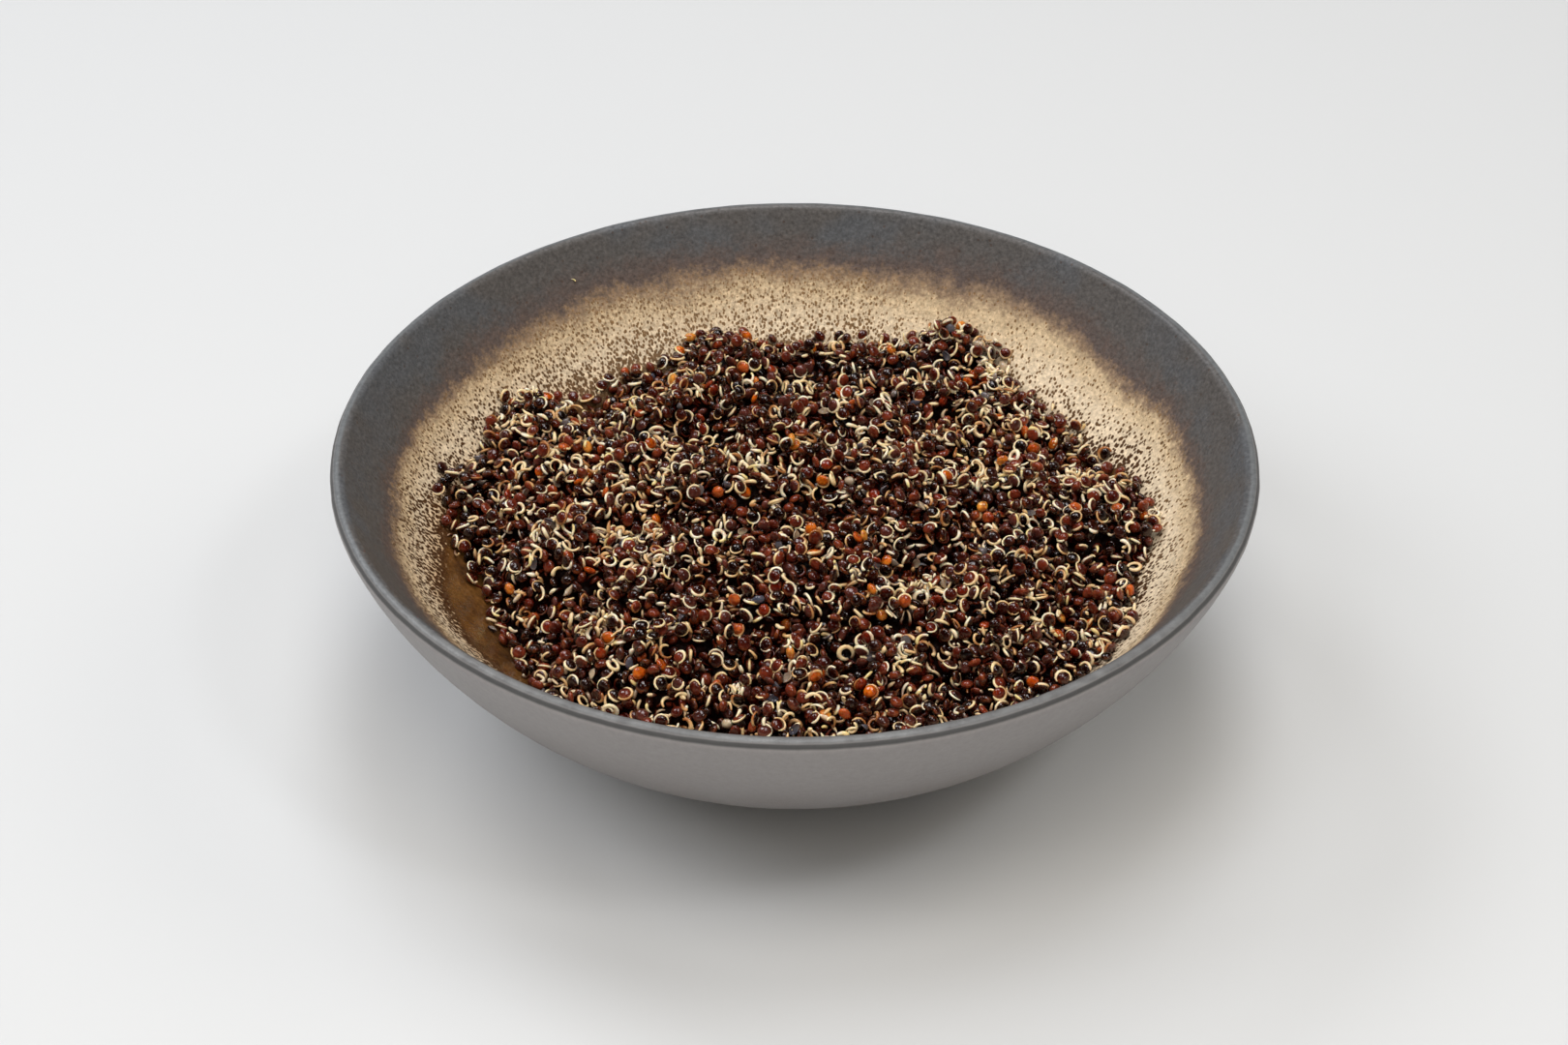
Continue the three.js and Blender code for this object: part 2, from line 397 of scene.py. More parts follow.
class Shape:
    """A grain's mesh about its own middle, with the balls that stand for it while it settles."""

    def __init__(self, vertices, faces, balls):
        self.vertices, self.faces, self.balls = vertices, faces, np.array(balls)
        self.rim = np.hypot(vertices[:, 0], vertices[:, 1]) / SEED_RADIUS
        self.germ = None

    def with_germ(self, germ):
        """The same grain with a germ that lies round it."""
        pair = Shape(self.vertices, self.faces, np.vstack([self.balls, germ.balls]))
        pair.germ = germ
        return pair


def unit_ball():
    ball = bmesh.new()
    bmesh.ops.create_icosphere(ball, subdivisions=2, radius=1)
    vertices = np.array([tuple(vertex.co) for vertex in ball.verts])
    faces = np.array([[vertex.index for vertex in face.verts] for face in ball.faces])
    ball.free()
    return vertices, faces


SEED_RADIUS = 1.12 * MM
SEED_LUMPS = 5
SEED_BALLS = 7
# These are shares of the seed's radius.
SEED_THICKNESS = (0.48, 0.82)
SEED_OVAL = (0.9, 1)
SEED_DENT = (0.04, 0.3)
SEED_DENT_WIDTH = 0.45
SEED_DENT_SHIFT = 0.2
SEED_LUMP = 0.14
SEED_JITTER = 0.04
SEED_RIM_THINNING = 0.12
RIM_BALL = 0.98
# How much a grain's tone changes from its middle to its rim.
TONE_DRIFT = 0.15


def seed_shape(random):
    """A cooked seed: a round cushion with a flatter rim, a dent on each face and a few soft lumps."""
    vertices, faces = unit_ball()
    flat = random.uniform(*SEED_THICKNESS)
    oval = random.uniform(*SEED_OVAL)
    across = np.hypot(vertices[:, 0], vertices[:, 1])
    for _ in range(SEED_LUMPS):
        direction = random.normal(size=3)
        direction /= np.linalg.norm(direction)
        lump = SEED_LUMP * random.uniform(-1, 1)
        vertices = vertices * (1 + lump * np.clip(vertices @ direction, 0, 1) ** 3)[:, None]
    dents = random.uniform(*SEED_DENT, size=2)
    centre = random.uniform(-SEED_DENT_SHIFT, SEED_DENT_SHIFT, size=(2, 2))
    for sign, depth, middle in zip((1, -1), dents, centre):
        away = np.hypot(vertices[:, 0] - middle[0], vertices[:, 1] - middle[1])
        facing = vertices[:, 2] * sign > 0
        vertices[:, 2] -= sign * depth * np.exp(-(away / SEED_DENT_WIDTH) ** 2) * facing
    vertices += SEED_JITTER * random.uniform(-1, 1, size=vertices.shape)
    vertices[:, 2] *= flat * (1 - SEED_RIM_THINNING * across ** 4)
    vertices[:, 1] *= oval
    vertices *= SEED_RADIUS
    turn = np.arange(SEED_BALLS - 1) * 2 * math.pi / (SEED_BALLS - 1)
    ball = flat * SEED_RADIUS
    spread = SEED_RADIUS - ball
    balls = [(0, 0, 0, ball)]
    balls += [(spread * math.cos(a), spread * oval * math.sin(a), 0, ball * RIM_BALL) for a in turn]
    return Shape(vertices, faces, balls)


TIP_REACH = 0.7


def tube(path, radii, sides, squash):
    """The vertices, triangles and balls of a closed tube along the path, with pointed tips."""
    along = np.gradient(path, axis=0)
    along /= np.linalg.norm(along, axis=1)[:, None]
    up = np.array([0, 0, 1.0])
    side = np.cross(along, up)
    side /= np.linalg.norm(side, axis=1)[:, None]
    normal = np.cross(side, along)
    turn = np.arange(sides) * 2 * math.pi / sides
    spokes = (np.cos(turn)[None, :, None] * side[:, None, :] * squash
              + np.sin(turn)[None, :, None] * normal[:, None, :])
    rings = path[:, None, :] + radii[:, None, None] * spokes
    tips = [path[0] - along[0] * radii[0] * TIP_REACH, path[-1] + along[-1] * radii[-1] * TIP_REACH]
    vertices = np.vstack([rings.reshape(-1, 3), tips])
    quads = np.array(grid_faces(len(path), sides))
    start_tip, end_tip = len(vertices) - 2, len(vertices) - 1
    ends = fan(start_tip, 0, sides, turned_over=True) + fan(end_tip, start_tip - sides, sides)
    faces = np.vstack([quads[:, [0, 1, 2]], quads[:, [0, 2, 3]], ends])[:, ::-1]
    return vertices, faces, np.hstack([path, radii[:, None]])


GERM_RADIUS = 0.29 * MM
GERM_SIDES = 5
GERM_WAVER = 0.05 * MM
GERM_WAVER_SIDES = (1, 1, 1.4)
GERM_SIZES = (0.8, 1.2)
GERM_SQUASH = (0.7, 1.3)


def germ_radii(points, thickness, random):
    """A germ is thick and blunt where its two leaves are, and tapers to the root tip."""
    t = np.linspace(0, 1, points)
    blunt = np.minimum(1, 0.55 + 3 * t)
    taper = 1 - random.uniform(0.3, 0.6) * t ** 1.5
    return thickness * blunt * taper


def spindle_radii(points, thickness, random):
    """A loose seed leaf is thickest near its middle and pointed at both ends."""
    t = np.linspace(0, 1, points) ** random.uniform(0.8, 1.25)
    return thickness * (0.3 + 0.7 * np.sin(math.pi * t))


def germ_shape(random, arc, bend_radius, points, thickness, lift=(0, 0.5), opening=(0, 0.25),
               centred=True, profile=germ_radii):
    """A germ bent through the arc in degrees, whose bend opens and whose end lifts."""
    sweep = math.radians(random.uniform(*arc))
    radius = random.uniform(*bend_radius)
    t = np.linspace(0, 1, points)
    angle = sweep * t
    reach = radius * (1 + random.uniform(*opening) * t ** 2)
    rise = radius * random.uniform(*lift) * t ** 2
    path = np.stack([reach * np.cos(angle), reach * np.sin(angle), rise], -1)
    path += random_walk(random, points) * GERM_WAVER
    if centred:
        path -= path.mean(axis=0)
    radii = profile(points, GERM_RADIUS * thickness * random.uniform(*GERM_SIZES), random)
    return Shape(*tube(path, radii, GERM_SIDES, random.uniform(*GERM_SQUASH)))


def random_walk(random, points):
    steps = random.normal(size=(points, 3))
    return np.cumsum(steps, axis=0) / math.sqrt(points) * np.array(GERM_WAVER_SIDES)


HUSK_THICKNESS = 0.14
HUSK_BALLS = 6


def husk_shape(random):
    """An empty seed coat: a thin, cupped and crumpled scale."""
    vertices, faces = unit_ball()
    across = np.hypot(vertices[:, 0], vertices[:, 1])
    cup = random.uniform(0.25, 0.6)
    fold = random.uniform(0.1, 0.35)
    direction = random.uniform(0, math.pi)
    along = vertices[:, 0] * math.cos(direction) + vertices[:, 1] * math.sin(direction)
    vertices[:, 2] = vertices[:, 2] * HUSK_THICKNESS + cup * across ** 2 + fold * np.abs(along) - 0.4 * cup
    vertices[:, 0] *= random.uniform(0.85, 1.1)
    vertices[:, 1] *= random.uniform(0.6, 0.95)
    vertices[:, 2] += 0.08 * np.sin(5 * vertices[:, 0] + random.uniform(0, 6)) * across
    size = SEED_RADIUS * random.uniform(0.85, 1.1)
    turn = np.arange(HUSK_BALLS) * 2 * math.pi / HUSK_BALLS
    balls = [(0.6 * math.cos(a), 0.5 * math.sin(a), 0.3 * cup, 0.2) for a in turn]
    balls.append((0, 0, 0, 0.25))
    return Shape(vertices * size, faces, np.array(balls) * size)


# ---- settling

class Kind:
    """One kind of grain, with its shapes, share, depth of sinking in, sizes and taste for patches."""

    def __init__(self, name, slot, share=0.0, shapes=(), sink=0.0, sizes=(0.92, 1.08), taste=0):
        self.name, self.slot, self.share, self.shapes = name, slot, share, shapes
        self.sink, self.sizes, self.taste = sink, sizes, taste
        self.placed = []


# Each grain tries this many turns, and each turn this many places.
DROP_TURNS = 2
DROP_PLACES = 5
SETTLE_REACH = 66 * MM

# The heap is full when its top comes this near the form on average, measured every so many grains.
FULL_UNDER = -0.42 * MM
FILL_CHECK = 200
MOST_GRAINS = 14000
LEAST_DEPTH = 0.5 * MM

# A grain that lies this far under those on top of it everywhere is left out.
HIDDEN_UNDER = 0.3 * MM

# How far under the smoothed top of the heap the grains' painted shade starts, and where it is full.
SHADE_BLUR = 1.8 * MM
SHADE_FROM = -0.5 * MM
SHADE_TO = 0.95 * MM


def random_turn(random):
    """A rotation matrix, evenly spread over all rotations."""
    q = random.normal(size=4)
    w, x, y, z = q / np.linalg.norm(q)
    return np.array([
        [1 - 2 * (y * y + z * z), 2 * (x * y - z * w), 2 * (x * z + y * w)],
        [2 * (x * y + z * w), 1 - 2 * (x * x + z * z), 2 * (y * z - x * w)],
        [2 * (x * z - y * w), 2 * (y * z + x * w), 1 - 2 * (x * x + y * y)],
    ])


def footprint(balls):
    """The top and bottom of the balls on the cells around their middle, and the cells' offsets."""
    reach = np.max(np.hypot(balls[:, 0], balls[:, 1]) + balls[:, 3])
    count = math.ceil(reach / GRID_PITCH)
    offsets = np.arange(-count, count + 1)
    x, y = np.meshgrid(offsets * GRID_PITCH, offsets * GRID_PITCH, indexing="ij")
    away = (x[None] - balls[:, 0, None, None]) ** 2 + (y[None] - balls[:, 1, None, None]) ** 2
    inside = balls[:, 3, None, None] ** 2 - away
    half = np.sqrt(np.maximum(inside, 0))
    top = np.where(inside > 0, balls[:, 2, None, None] + half, -1).max(axis=0)
    bottom = np.where(inside > 0, balls[:, 2, None, None] - half, 1).min(axis=0)
    covered = top > -1
    i, j = np.nonzero(covered)
    return top[covered], bottom[covered], i - count, j - count


def drop(heap, kind, random):
    """Lay a grain of the kind where it comes to lie lowest, of a few turns and places."""
    shape = kind.shapes[random.integers(len(kind.shapes))]
    size = random.uniform(*kind.sizes)
    middle = heap.cells // 2
    best = None
    for _ in range(DROP_TURNS):
        matrix = random_turn(random) * size
        balls = np.hstack([shape.balls[:, :3] @ matrix.T, shape.balls[:, 3:] * size])
        top, bottom, di, dj = footprint(balls)
        reach = SETTLE_REACH * np.sqrt(random.uniform(size=DROP_PLACES))
        turn = random.uniform(0, 2 * math.pi, size=DROP_PLACES)
        i = middle + np.round(reach * np.cos(turn) / GRID_PITCH).astype(int)
        j = middle + np.round(reach * np.sin(turn) / GRID_PITCH).astype(int)
        under = heap.top[i[:, None] + di, j[:, None] + dj]
        rest = (under - bottom).max(axis=1) - kind.sink
        over = rest + top.max() - heap.target[i, j] + kind.taste * heap.taste[i, j]
        k = int(np.argmin(over))
        if best is None or over[k] < best[0]:
            best = (over[k], i[k], j[k], rest[k], matrix, top, di, dj)
    _, i, j, rest, matrix, top, di, dj = best
    cells = (i + di, j + dj)
    heap.top[cells] = np.maximum(heap.top[cells], rest + top)
    place = np.array([heap.places[i], heap.places[j], rest])
    return kind, shape, matrix, place, cells, rest + top


def settle(heap, kinds, hugs, random):
    """Lay grains until they reach the surface. The germs round seeds go to hugs."""
    shares = np.array([kind.share for kind in kinds])
    in_heap = heap.target > heap.wall + LEAST_DEPTH
    laid = []
    for count in range(MOST_GRAINS):
        kind = kinds[random.choice(len(kinds), p=shares / shares.sum())]
        laid.append(drop(heap, kind, random))
        if count % FILL_CHECK == 0 and np.mean((heap.top - heap.target)[in_heap]) > FULL_UNDER:
            break
    for kind, shape, matrix, place, cells, top in laid:
        if np.max(top - heap.top[cells]) > -HIDDEN_UNDER:
            kind.placed.append((shape, matrix, place, random.uniform()))
            if shape.germ:
                hugs.placed.append((shape.germ, matrix, place, random.uniform()))
    # The smoothed top of the heap, from which the grains' painted shade is measured.
    heap.cover = blur(heap.top, SHADE_BLUR / GRID_PITCH)


# ---- joined grains

def join_grains(name, placed, material, heap):
    """One mesh of all the placed grains, with their tones, rims and a painted shade for how deep they lie
    as attributes.
    """
    vertices, faces, tones, rims, first = [], [], [], [], 0
    for shape, matrix, place, tone in placed:
        vertices.append(shape.vertices @ matrix.T + place)
        faces.append(shape.faces + first)
        tones.append(tone + TONE_DRIFT * shape.vertices[:, 0] / SEED_RADIUS)
        rims.append(shape.rim)
        first += len(shape.vertices)
    vertices, faces = np.vstack(vertices), np.vstack(faces)
    mesh = bpy.data.meshes.new(name)
    mesh.vertices.add(len(vertices))
    mesh.vertices.foreach_set("co", vertices.astype(np.float32).ravel())
    mesh.loops.add(faces.size)
    mesh.loops.foreach_set("vertex_index", faces.astype(np.int32).ravel())
    mesh.polygons.add(len(faces))
    mesh.polygons.foreach_set("loop_start", np.arange(0, faces.size, 3, dtype=np.int32))
    mesh.update(calc_edges=True)
    # Painted shade: grains that lie further under the smoothed top are coloured darker.
    cover = heap.height(heap.cover, vertices[:, 0], vertices[:, 1])
    painted_shade = smooth_step(cover - vertices[:, 2], SHADE_FROM, SHADE_TO)
    add_floats(mesh, {"tone": np.concatenate(tones), "rim": np.concatenate(rims), "painted_shade": painted_shade})
    return dress(name, mesh, material)


# ---- materials

def linear(red, green, blue):
    """A colour given in 0 to 255 as a screen shows it, as linear light."""
    channels = [c / 255 for c in (red, green, blue)]
    return tuple(c / 12.92 if c <= 0.04045 else ((c + 0.055) / 1.055) ** 2.4 for c in channels) + (1.0,)


def grey(level):
    return (level, level, level, 1.0)


class Finish:
    """A material built from small steps. Where a step takes a value, it takes a socket or a number."""

    def __init__(self, name, **constants):
        self.material = bpy.data.materials.new(name)
        self.material.use_nodes = True
        self.tree = self.material.node_tree
        self.shader = self.tree.nodes["Principled BSDF"]
        for key, value in constants.items():
            self.shader.inputs[key.replace("_", " ")].default_value = value
        self.position = self.node("TexCoord").outputs["Object"]

    def node(self, kind, values=None, **settings):
        node = self.tree.nodes.new("ShaderNode" + kind)
        for key, value in settings.items():
            setattr(node, key, value)
        for key, value in (values or {}).items():
            self.feed(node.inputs[key], value)
        return node

    def feed(self, socket, value):
        if isinstance(value, bpy.types.NodeSocket):
            self.tree.links.new(value, socket)
        else:
            socket.default_value = value

    def attribute(self, name):
        return self.node("Attribute", attribute_name=name).outputs["Fac"]

    def math(self, operation, first, second=0.0):
        return self.node("Math", {0: first, 1: second}, operation=operation).outputs[0]

    def plus(self, first, second):
        return self.math("ADD", first, second)

    def minus(self, first, second):
        return self.math("SUBTRACT", first, second)

    def times(self, first, second):
        return self.math("MULTIPLY", first, second)

    def noise(self, size, detail=2.0, roughness=0.5, where=None):
        """Noise whose features are about that size, from 0 to 1."""
        values = {"Vector": where or self.position, "Scale": 1 / size, "Detail": detail,
                  "Roughness": roughness}
        return self.node("TexNoise", values).outputs["Fac"]

    def cells(self, size, where=None):
        """The distance to the nearest of many scattered points, in cells of that size."""
        values = {"Vector": where or self.position, "Scale": 1 / size}
        return self.node("TexVoronoi", values).outputs["Distance"]

    def between(self, value, low, high, to_low=0.0, to_high=1.0, curve="SMOOTHSTEP"):
        """A smooth step, from to_low where the value is low to to_high where it is high."""
        values = {"Value": value, "From Min": low, "From Max": high, "To Min": to_low, "To Max": to_high}
        return self.node("MapRange", values, interpolation_type=curve).outputs["Result"]

    def scale(self, value, low, high, to_low=0.0, to_high=1.0):
        """The same as a straight, clamped change."""
        return self.between(value, low, high, to_low, to_high, "LINEAR")

    def spread(self, noise, reach):
        """The noise drawn out over the reach to both sides of 0."""
        return self.scale(noise, 0.3, 0.7, -reach, reach)

    def fade(self, share, value):
        """From 1 where the share is 0 to the value where it is 1."""
        return self.scale(share, 0.0, 1.0, 1.0, value)

    def mix(self, share, first, second, blend="MIX"):
        node = self.node("Mix", data_type="RGBA", blend_type=blend)
        self.feed(node.inputs["Factor"], share)
        self.feed(node.inputs[6], first)
        self.feed(node.inputs[7], second)
        return node.outputs[2]

    def shade(self, colour, tint):
        """The colour times the tint."""
        return self.mix(1.0, colour, tint, blend="MULTIPLY")

    def ramp(self, value, stops):
        node = self.node("ValToRGB", {"Fac": value})
        elements = node.color_ramp.elements
        while len(elements) < len(stops):
            elements.new(0.5)
        for element, (place, colour) in zip(elements, stops):
            element.position, element.color = place, colour
        return node.outputs["Color"]

    def combine(self, x, y, z):
        return self.node("CombineXYZ", {"X": x, "Y": y, "Z": z}).outputs[0]

    def bump(self, height, distance, strength=1.0):
        values = {"Height": height, "Distance": distance, "Strength": strength}
        return self.node("Bump", values).outputs["Normal"]

    def with_painted_depth_shade(self, colour):
        """The colour of grains with painted shade: darker and redder the further down they lie."""
        return self.mix(self.attribute("painted_shade"), colour, self.shade(colour, PAINTED_DEPTH_SHADE))

    def finish(self, **inputs):
        for key, value in inputs.items():
            self.feed(self.shader.inputs[key.replace("_", " ")], value)
        return self.material


# Painted shade for grains that lie down between others.
PAINTED_DEPTH_SHADE = (0.12, 0.02, 0.01, 1.0)
CHARCOAL = linear(99, 95, 92)
CHARCOAL_COOL = linear(98, 99, 101)
OUTSIDE_GREY = linear(123, 118, 116)
OUTSIDE_WARM = linear(117, 109, 105)
# Painted light: the outer wall turns paler towards the rim.
OUTSIDE_PAINTED_LIGHT = linear(160, 155, 153)
# The lip's rubbed grey, a little lighter in front than at the sides as a painted highlight.
LIP_GREY = linear(134, 134, 133)
LIP_GREY_DARK = linear(114, 113, 112)
LIP_SIDE = linear(119, 121, 122)
# Painted shade: a dark line where the lip turns down into the outer wall.
LIP_PAINTED_SHADE = linear(88, 87, 86)
PURPLE_BROWN = linear(106, 91, 84)
TAN = linear(160, 134, 108)
MOTTLE = linear(160, 128, 94)
BEIGE = linear(229, 201, 160)
BEIGE_PALE = linear(247, 224, 190)
# A browner tint for the left wall near the brown.
LEFT_WALL_TINT = (0.76, 0.54, 0.3, 1.0)
FAINT_SPECKLE = linear(146, 112, 72)
SPECKLE_BROWN = linear(78, 47, 18)
DEEP_BROWN = linear(124, 83, 41)
DEEP_BROWN_DARK = linear(84, 55, 31)

BAND_WIDTH = 5 * MM
BAND_STOPS = [(0.0, CHARCOAL), (0.2, CHARCOAL), (0.42, PURPLE_BROWN), (0.54, TAN), (0.68, BEIGE),
              (1.0, BEIGE_PALE)]

# Specks grow with their reach, given from the brown (0) to far up the beige (1).
SPECK_PITCH_LEFT = 0.62 * MM
SPECK_PITCH_RIGHT = 0.8 * MM
SPECK_STRETCH = 1.15
SPECK_REACH = [(0.0, grey(0.98)), (0.14, grey(0.79)), (0.25, grey(0.63)), (0.45, grey(0.47)),
               (0.7, grey(0.37)), (1.0, grey(0.26))]
FEWER_ON_RIGHT = 0.07


class BowlGlaze(Finish):
    """Charcoal outside and at the rim, then beige with specks that run down the wall, then brown."""

    def __init__(self):
        super().__init__("stoneware_glaze", Specular_IOR_Level=0.4)
        self.x, self.y, self.z = self.node("SeparateXYZ", {"Vector": self.position}).outputs
        self.radius = self.math("SQRT", self.plus(self.times(self.x, self.x), self.times(self.y, self.y)))
        self.around = self.attribute("lip_angle")
        self.inward_of_lip = self.between(self.around, 46, 62)
        self.place_edges()
        self.place_sides()

    def place_edges(self):
        """The distances from the middle and from the brown, with uneven edges."""
        drift = self.spread(self.noise(18 * MM, 3), 0.9 * MM)
        self.fray = self.spread(self.noise(0.7 * MM, 3, 0.7), 0.6 * MM)
        ragged = self.spread(self.noise(2.6 * MM, 2), 0.6 * MM)
        edge = self.plus(self.plus(self.radius, drift), self.plus(self.fray, ragged))
        self.edge = self.minus(edge, self.between(self.y, 20 * MM, 60 * MM, 0.0, 0.8 * MM))
        self.above = self.plus(self.attribute("above_brown"), drift)
        self.beige_share = self.between(self.edge, BEIGE_RADIUS + 1 * MM, BEIGE_RADIUS - 1 * MM)
        self.brown_share = self.between(self.plus(self.above, self.fray), -0.8 * MM, -2.6 * MM)

    def place_sides(self):
        """The sides that differ, and directions along the wall."""
        self.behind_front = self.between(self.y, -62 * MM, -30 * MM)
        self.at_back = self.between(self.y, 25 * MM, 60 * MM)
        self.on_right = self.between(self.x, 10 * MM, 40 * MM)
        scaled = self.times(self.radius, 1 / BEIGE_RADIUS)
        turned = [self.math("DIVIDE", axis, scaled) for axis in (self.x, self.y)]
        self.down_wall = self.combine(*turned, self.times(self.radius, SPECK_STRETCH))

    def banded(self):
        """Charcoal that turns into beige, more quickly in front."""
        pace = self.between(self.y, 10 * MM, 60 * MM, 1.15, 0.7)
        across_edge = self.times(self.minus(self.edge, BEIGE_RADIUS), pace)
        colour = self.ramp(self.scale(across_edge, BAND_WIDTH, -BAND_WIDTH), BAND_STOPS)
        cool = self.between(self.noise(14 * MM, 2), 0.4, 0.65)
        rim_share = self.between(self.edge, BEIGE_RADIUS + 1 * MM, BEIGE_RADIUS + 5 * MM)
        return self.mix(self.times(cool, rim_share), colour, CHARCOAL_COOL)

    def speckles(self):
        """Where the specks are. They run together near the brown."""
        patches = self.spread(self.noise(4 * MM, 2), 0.08)
        ragged = self.spread(self.noise(0.5 * MM, 2, where=self.down_wall), 0.09)
        cells = [self.cells(pitch, self.down_wall) for pitch in (SPECK_PITCH_LEFT, SPECK_PITCH_RIGHT)]
        away = self.plus(self.mix(self.on_right, *cells), self.plus(patches, ragged))
        away = self.plus(away, self.times(self.on_right, FEWER_ON_RIGHT))
        reach = self.ramp(self.scale(self.above, -3 * MM, 11 * MM), SPECK_REACH)
        speckle = self.between(self.minus(reach, away), -0.05, 0.07)
        return self.times(speckle, self.beige_share)

    def ink(self):
        """The specks' colour, darker near the brown and fainter at the back."""
        higher_on_left = self.between(self.x, -30 * MM, -55 * MM, 0.0, 3 * MM)
        inked = self.between(self.minus(self.above, higher_on_left), 8.5 * MM, 1 * MM)
        return self.mix(self.times(inked, self.fade(self.at_back, 0.45)), FAINT_SPECKLE, SPECKLE_BROWN)

    def mottled(self, colour):
        """Tan mottling of the beige, least at the right and most at the back."""
        mottle = self.between(self.noise(0.55 * MM, 3, 0.65, where=self.down_wall), 0.46, 0.66)
        share = self.between(self.edge, BEIGE_RADIUS - 6 * MM, BEIGE_RADIUS - 1 * MM, 0.32, 0.7)
        for factor in (self.fade(self.on_right, 0.15), self.fade(self.at_back, 1.5), self.beige_share):
            share = self.times(share, factor)
        return self.mix(self.times(mottle, share), colour, MOTTLE)

    def browned(self, colour):
        """The left wall tinted browner near the brown, the brown and a few dots."""
        left_browning = self.between(self.plus(self.above, self.fray), 4 * MM, -1.5 * MM, 0.0, 0.6)
        left_browning = self.times(left_browning, self.between(self.x, -30 * MM, -55 * MM))
        colour = self.mix(left_browning, colour, self.shade(colour, LEFT_WALL_TINT))
        deep = self.mix(self.between(self.noise(6 * MM, 4), 0.35, 0.7), DEEP_BROWN, DEEP_BROWN_DARK)
        colour = self.mix(self.brown_share, colour, deep)
        dots = self.between(self.cells(2.4 * MM), 0.13, 0.08)
        return self.mix(self.times(dots, 0.4), colour, SPECKLE_BROWN)

    def uneven(self, colour):
        """The colour in fine lighter and darker clouds."""
        cloud = self.scale(self.noise(0.6 * MM, 3, 0.6), 0.3, 0.7, 0.72, 1.22)
        return self.shade(colour, self.combine(cloud, cloud, cloud))

    def outer_colour(self):
        """Charcoal, paler further up as painted light, with a painted shadow line under a lip of rubbed
        pale glaze that is a little lighter in front as a painted highlight.
        """
        colour = self.mix(self.between(self.noise(16 * MM, 4), 0.35, 0.65), OUTSIDE_GREY, OUTSIDE_WARM)
        # Painted light: paler further up the wall.
        colour = self.mix(self.between(self.z, 0.3 * HEIGHT, HEIGHT - 3 * MM), colour, OUTSIDE_PAINTED_LIGHT)
        # A painted shadow line round the lip's outer edge.
        line = self.times(self.between(self.around, 10, 28), self.between(self.around, 60, 44))
        colour = self.mix(line, colour, LIP_PAINTED_SHADE)
        worn_and_lit_lip = self.mix(self.between(self.noise(2.2 * MM, 3), 0.35, 0.65), LIP_GREY, LIP_GREY_DARK)
        # The lip is a little lighter in front than at the sides: a painted highlight.
        worn_and_lit_lip = self.mix(self.behind_front, worn_and_lit_lip, LIP_SIDE)
        return self.mix(self.inward_of_lip, colour, worn_and_lit_lip)

    def grained(self, colour):
        """The colour with a fine grain, stronger inside than outside."""
        grain = self.scale(self.noise(1.1 * MM, 4, 0.75), 0.3, 0.7)
        outside = self.ramp(grain, [(0.0, grey(0.78)), (1.0, grey(0.9))])
        inside = self.ramp(grain, [(0.0, grey(0.66)), (1.0, grey(1.0))])
        return self.shade(colour, self.mix(self.inward_of_lip, outside, inside))


def bowl_glaze():
    glaze = BowlGlaze()
    speckle = glaze.speckles()
    inner = glaze.mix(speckle, glaze.banded(), glaze.ink())
    inner = glaze.uneven(glaze.browned(glaze.mottled(inner)))
    higher_at_back = glaze.times(glaze.behind_front, 22)
    inside = glaze.between(glaze.plus(glaze.around, higher_at_back), 104, 126)
    colour = glaze.grained(glaze.mix(inside, glaze.outer_colour(), inner))
    on_lip = glaze.times(glaze.between(glaze.around, 30, 60), glaze.between(glaze.around, 140, 110))
    gloss_share = glaze.times(inside, glaze.brown_share)
    roughness = glaze.minus(glaze.scale(gloss_share, 0.0, 1.0, 0.52, 0.2), glaze.times(on_lip, 0.16))
    relief = glaze.plus(glaze.noise(1.1 * MM, 3), glaze.times(speckle, -0.35))
    relief = glaze.times(relief, glaze.scale(glaze.inward_of_lip, 0.0, 1.0, 0.45, 1.0))
    return glaze.finish(Base_Color=colour, Roughness=roughness, Normal=glaze.bump(relief, 0.16 * MM, 0.8))


# Each grain's tone, from 0 to 1, picks its colour from these.
BLACK_TONES = [(0.0, linear(8, 2, 1)), (0.55, linear(32, 9, 5)), (1.0, linear(94, 46, 38))]
MAROON_TONES = [(0.0, linear(27, 4, 2)), (0.5, linear(72, 18, 9)), (1.0, linear(126, 50, 29))]
RED_TONES = [(0.0, linear(96, 20, 6)), (0.6, linear(142, 43, 14)), (1.0, linear(202, 104, 44))]
AMBER_TONES = [(0.0, linear(186, 78, 10)), (0.6, linear(214, 112, 20)), (1.0, linear(232, 160, 66))]
HUSK_TONES = [(0.0, linear(72, 76, 90)), (0.4, linear(104, 98, 98)), (0.7, linear(146, 130, 112)),
              (1.0, linear(198, 176, 144))]
GERM_TONES = [(0.0, linear(166, 106, 58)), (0.12, linear(218, 173, 116)), (0.3, linear(243, 213, 160)),
              (0.6, linear(248, 224, 180)), (0.88, linear(254, 241, 214)), (1.0, linear(238, 213, 146))]
GERM_STAIN = linear(170, 98, 48)
# Painted shade: the core is near black so that the gaps between the grains read as shadow.
CORE_SHADE_BLACK = linear(6, 1, 0)
CORE_SHADE_BROWN = linear(20, 5, 2)
# Partly the coat's colour, partly a painted glow of light shining through the seeds' thin rims.
RIM_BROWN_AND_PAINTED_GLOW = linear(158, 78, 36)
WARM_SHEEN = (1.0, 0.5, 0.35, 1.0)
CLOUD_SHADE = (0.34, 0.2, 0.2, 1.0)
SEED_GLOW_REACH = (1.0, 0.25, 0.15)
GERM_GLOW_REACH = (1.0, 0.6, 0.35)


